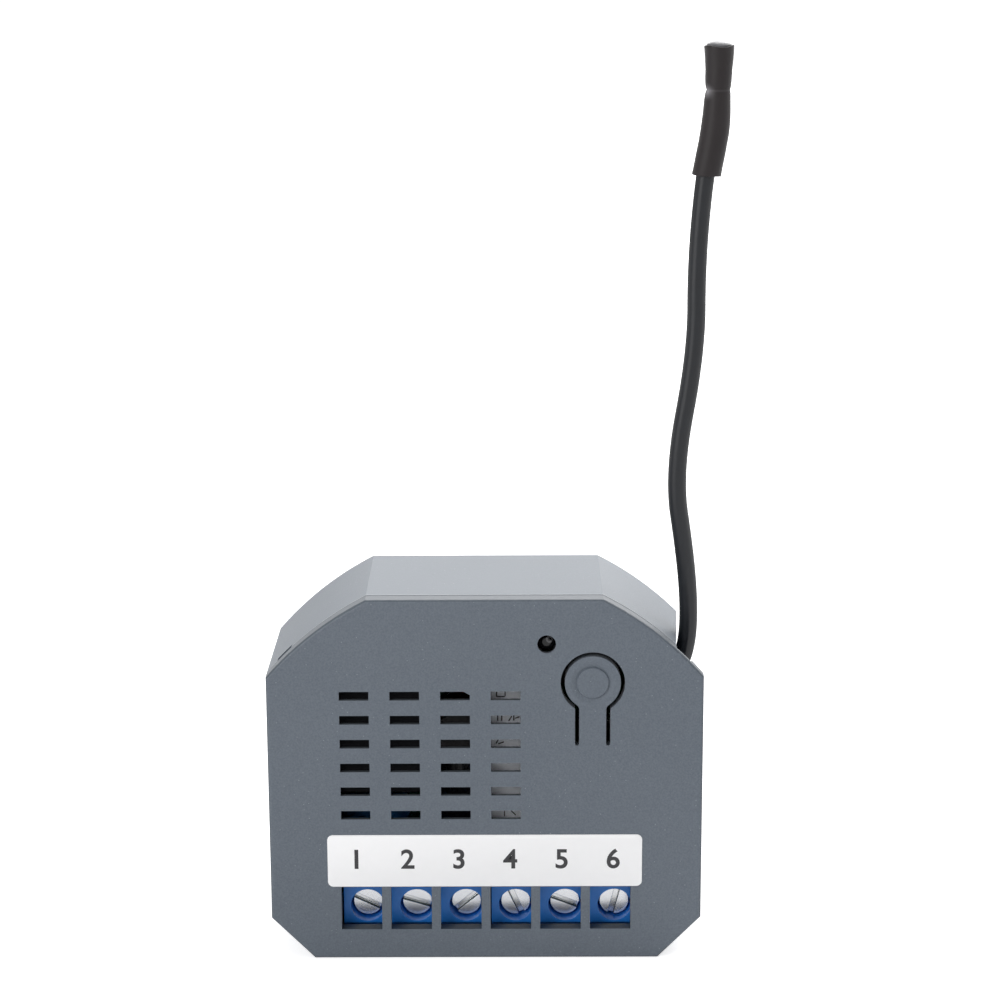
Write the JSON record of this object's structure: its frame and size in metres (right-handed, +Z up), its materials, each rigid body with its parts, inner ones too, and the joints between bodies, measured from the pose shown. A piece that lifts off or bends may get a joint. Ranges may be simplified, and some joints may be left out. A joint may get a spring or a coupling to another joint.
{
  "type": "smart relay module",
  "caption": "Flush relay module: grey box with bowed shoulders, vents, keyhole push button, screw terminals behind windows, and an upright wire antenna.",
  "frame": {"origin": "centre of the housing's foot, in the plane that it stands on, measured without the antenna", "axes": "+X to the right seen from the front cover, +Y from the front cover to the back wall, +Z up along the antenna"},
  "size_m": [0.0457, 0.0172, 0.091],
  "materials": {
    "housing_plastic": "fine spark-eroded texture, slate grey",
    "label_film": "gloss white film",
    "circuit_board": "solder mask",
    "relay_plastic": "satin",
    "potting_black": "satin",
    "varistor_coating": "lacquer",
    "capacitor_sleeve": "shrunk film",
    "resistor_coating": "lacquer",
    "ferrite": "matt sintered",
    "copper_wire": "enamelled",
    "shield_tin": "tinned",
    "led_lens": "clear, dark unlit",
    "switch_plastic": "satin",
    "terminal_blue": "satin",
    "zinc_screw": "bright zinc",
    "cage_metal": "nickel plated",
    "contact_brass": "tinned",
    "wire_insulation": "satin PVC",
    "shrink_sleeve": "satin",
    "sealant": "clear grey"
  },
  "bodies": {
    "housing": {"base_housing": "housing_plastic", "front_cover": "housing_plastic", "terminal_label": "label_film", "main_board": "circuit_board", "power_relay": "relay_plastic", "power_converter": "potting_black", "surge_varistor": "varistor_coating", "filter_capacitor": "capacitor_sleeve", "fuse_resistor": "resistor_coating", "choke_core": "ferrite", "choke_winding": "copper_wire", "radio_module": "circuit_board", "radio_shield": "shield_tin", "status_led": "led_lens", "tact_switch": "switch_plastic", "terminal_block_left": "terminal_blue", "terminal_block_right": "terminal_blue", "terminal_contact_1": "contact_brass", "terminal_contact_2": "contact_brass", "terminal_contact_3": "contact_brass", "terminal_contact_4": "contact_brass", "terminal_contact_5": "contact_brass", "terminal_contact_6": "contact_brass", "antenna_wire": "wire_insulation", "antenna_sleeve": "shrink_sleeve", "sleeve_seal": "sealant"},
    "button": {"button_tongue": "housing_plastic"},
    "plunger": {"tact_plunger": "switch_plastic"},
    "screw_1": {"terminal_screw_1": "zinc_screw"},
    "cage_1": {"clamp_cage_1": "cage_metal"},
    "screw_2": {"terminal_screw_2": "zinc_screw"},
    "cage_2": {"clamp_cage_2": "cage_metal"},
    "screw_3": {"terminal_screw_3": "zinc_screw"},
    "cage_3": {"clamp_cage_3": "cage_metal"},
    "screw_4": {"terminal_screw_4": "zinc_screw"},
    "cage_4": {"clamp_cage_4": "cage_metal"},
    "screw_5": {"terminal_screw_5": "zinc_screw"},
    "cage_5": {"clamp_cage_5": "cage_metal"},
    "screw_6": {"terminal_screw_6": "zinc_screw"},
    "cage_6": {"clamp_cage_6": "cage_metal"}
  },
  "joints": [
    {"name": "button_press", "type": "hinge", "parent": "housing", "child": "button", "pos_m": [0.01065, -0.008, 0.02289], "axis": [-1, 0, 0], "range_deg": [0, 2.73], "stiffness_Nm_per_rad": 0.05},
    {"name": "plunger_travel", "type": "slide", "parent": "housing", "child": "plunger", "axis": [0, 1, 0], "range_m": [0, 0.0003]},
    {"name": "screw_1_turn", "type": "hinge", "parent": "housing", "child": "screw_1", "pos_m": [-0.01201, -0.00505, 0.00483], "axis": [0, 1, 0], "range_deg": [0, 1200]},
    {"name": "cage_1_slide", "type": "slide", "parent": "housing", "child": "cage_1", "axis": [0, -1, 0], "range_m": [0, 0.0015]},
    {"name": "screw_2_turn", "type": "hinge", "parent": "housing", "child": "screw_2", "pos_m": [-0.00701, -0.00505, 0.00483], "axis": [0, 1, 0], "range_deg": [0, 1200]},
    {"name": "cage_2_slide", "type": "slide", "parent": "housing", "child": "cage_2", "axis": [0, -1, 0], "range_m": [0, 0.0015]},
    {"name": "screw_3_turn", "type": "hinge", "parent": "housing", "child": "screw_3", "pos_m": [-0.00201, -0.00505, 0.00483], "axis": [0, 1, 0], "range_deg": [0, 1200]},
    {"name": "cage_3_slide", "type": "slide", "parent": "housing", "child": "cage_3", "axis": [0, -1, 0], "range_m": [0, 0.0015]},
    {"name": "screw_4_turn", "type": "hinge", "parent": "housing", "child": "screw_4", "pos_m": [0.00299, -0.00505, 0.00483], "axis": [0, 1, 0], "range_deg": [0, 1200]},
    {"name": "cage_4_slide", "type": "slide", "parent": "housing", "child": "cage_4", "axis": [0, -1, 0], "range_m": [0, 0.0015]},
    {"name": "screw_5_turn", "type": "hinge", "parent": "housing", "child": "screw_5", "pos_m": [0.00799, -0.00505, 0.00483], "axis": [0, 1, 0], "range_deg": [0, 1200]},
    {"name": "cage_5_slide", "type": "slide", "parent": "housing", "child": "cage_5", "axis": [0, -1, 0], "range_m": [0, 0.0015]},
    {"name": "screw_6_turn", "type": "hinge", "parent": "housing", "child": "screw_6", "pos_m": [0.01299, -0.00505, 0.00483], "axis": [0, 1, 0], "range_deg": [0, 1200]},
    {"name": "cage_6_slide", "type": "slide", "parent": "housing", "child": "cage_6", "axis": [0, -1, 0], "range_m": [0, 0.0015]}
  ],
  "couplings": [
    {"joint": "button_press", "follows": "plunger_travel", "rad_per_m": 158.5},
    {"joint": "screw_1_turn", "follows": "cage_1_slide", "rad_per_m": 13962},
    {"joint": "screw_2_turn", "follows": "cage_2_slide", "rad_per_m": 13962},
    {"joint": "screw_3_turn", "follows": "cage_3_slide", "rad_per_m": 13962},
    {"joint": "screw_4_turn", "follows": "cage_4_slide", "rad_per_m": 13962},
    {"joint": "screw_5_turn", "follows": "cage_5_slide", "rad_per_m": 13962},
    {"joint": "screw_6_turn", "follows": "cage_6_slide", "rad_per_m": 13962}
  ]
}
